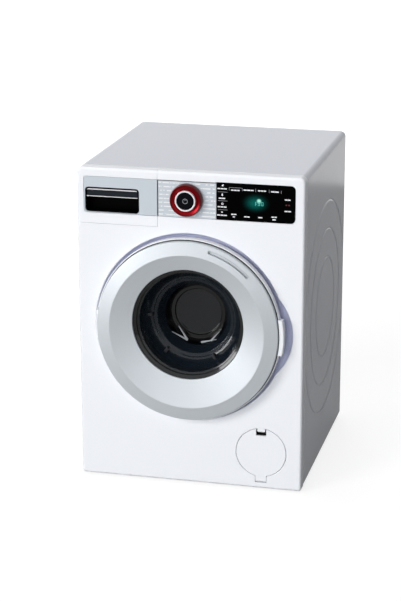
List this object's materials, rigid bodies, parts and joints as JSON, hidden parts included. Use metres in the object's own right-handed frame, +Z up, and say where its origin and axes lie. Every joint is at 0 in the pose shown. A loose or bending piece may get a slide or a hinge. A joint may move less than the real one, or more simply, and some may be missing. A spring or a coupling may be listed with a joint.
{
  "type": "toy washing machine",
  "caption": "Front-loading toy washing machine with a hinged round door, a turning drum, a pull-out drawer, a selector ring with a push button and a fold-down service flap.",
  "frame": {"origin": "on the ground under the middle of the box around the whole toy, door and handle included", "axes": "+Z up, +X to the right seen from the front, +Y from the front towards the back"},
  "size_m": [0.185, 0.1994, 0.262],
  "materials": {
    "white_plastic": "white, smooth",
    "silver_paint": "silver paint, satin",
    "ring_silver": "silver paint, satin",
    "black_gloss": "black, high gloss",
    "black_plastic": "black, matte",
    "red_gloss": "dark red, high gloss",
    "chrome_trim": "bright",
    "smoked_window": "clear, smoked",
    "grey_plastic": "dark grey, matte",
    "drum_silver": "dark silver, satin",
    "grey_rubber": "grey, matte",
    "black_rubber": "black, matte",
    "steel": "plain steel",
    "brass": "plain brass",
    "gear_plastic": "natural, matte",
    "board_green": "lacquered board",
    "cell_jacket": "plain printed jacket"
  },
  "bodies": {
    "body": {"front_panel": "white_plastic", "cabinet": "white_plastic", "back_cover": "white_plastic", "base_pan": "white_plastic", "foot_1": "black_rubber", "foot_2": "black_rubber", "foot_3": "black_rubber", "foot_4": "black_rubber", "back_screw_1": "steel", "back_screw_2": "steel", "back_screw_3": "steel", "back_screw_4": "steel", "fascia_strip": "silver_paint", "display_lens": "black_gloss", "display_module": "black_plastic", "control_board": "board_green", "selector_encoder": "black_plastic", "tact_switch": "black_plastic", "speaker": "black_plastic", "drawer_housing": "grey_plastic", "door_hinge_pin": "steel", "latch_catch": "grey_plastic", "tub_front": "grey_plastic", "tub_rear": "grey_plastic", "door_gasket": "grey_rubber", "front_bush": "brass", "rear_bush": "brass", "idler_axle": "steel", "motor": "steel", "gearbox_plate": "steel", "flap_pin": "steel", "flap_well": "grey_plastic", "battery_tray": "black_plastic", "battery_door": "white_plastic", "battery_door_screw": "steel", "battery_cell_1": "cell_jacket", "battery_cell_2": "cell_jacket"},
    "door": {"door_shell": "white_plastic", "door_ring": "ring_silver", "door_window": "smoked_window", "window_retainer": "grey_plastic", "door_handle": "white_plastic"},
    "drum": {"drum_shell": "drum_silver", "drum_back": "drum_silver", "paddle_1": "grey_plastic", "paddle_2": "grey_plastic", "paddle_3": "grey_plastic", "drum_shaft": "steel", "drum_gear": "gear_plastic"},
    "idler": {"idler_gear": "gear_plastic"},
    "pinion": {"motor_pinion": "brass"},
    "selector": {"knob_ring": "red_gloss", "knob_trim": "chrome_trim"},
    "button": {"power_button": "black_gloss"},
    "drawer": {"drawer_front": "white_plastic", "drawer_plate": "silver_paint", "drawer_grip": "black_gloss", "drawer_tray": "white_plastic"},
    "flap": {"drain_flap": "white_plastic"}
  },
  "joints": [
    {"name": "door_hinge", "type": "hinge", "parent": "body", "child": "door", "pos_m": [-0.0745, -0.09085, 0.1343], "axis": [0, 0, -1], "range_deg": [0, 105]},
    {"name": "drum_spin", "type": "hinge", "parent": "body", "child": "drum", "pos_m": [0, 0, 0.1391], "axis": [0, 1, 0], "continuous": true},
    {"name": "idler_spin", "type": "hinge", "parent": "body", "child": "idler", "pos_m": [0, 0, 0.0991], "axis": [0, 1, 0], "continuous": true},
    {"name": "pinion_spin", "type": "hinge", "parent": "body", "child": "pinion", "pos_m": [0, 0, 0.0751], "axis": [0, 1, 0], "continuous": true},
    {"name": "selector_turn", "type": "hinge", "parent": "body", "child": "selector", "pos_m": [-0.002, 0, 0.24], "axis": [0, -1, 0], "continuous": true},
    {"name": "button_press", "type": "slide", "parent": "body", "child": "button", "axis": [0, 1, 0], "range_m": [0, 0.0015], "stiffness_N_per_m": 300, "springref_m": -0.001},
    {"name": "drawer_slide", "type": "slide", "parent": "body", "child": "drawer", "axis": [0, -1, 0], "range_m": [0, 0.055]},
    {"name": "flap_hinge", "type": "hinge", "parent": "body", "child": "flap", "pos_m": [0.0592, -0.08455, 0.0086], "axis": [1, 0, 0], "range_deg": [0, 90]}
  ],
  "couplings": [
    {"joint": "idler_spin", "follows": "drum_spin", "ratio": -3},
    {"joint": "pinion_spin", "follows": "drum_spin", "ratio": 9}
  ]
}
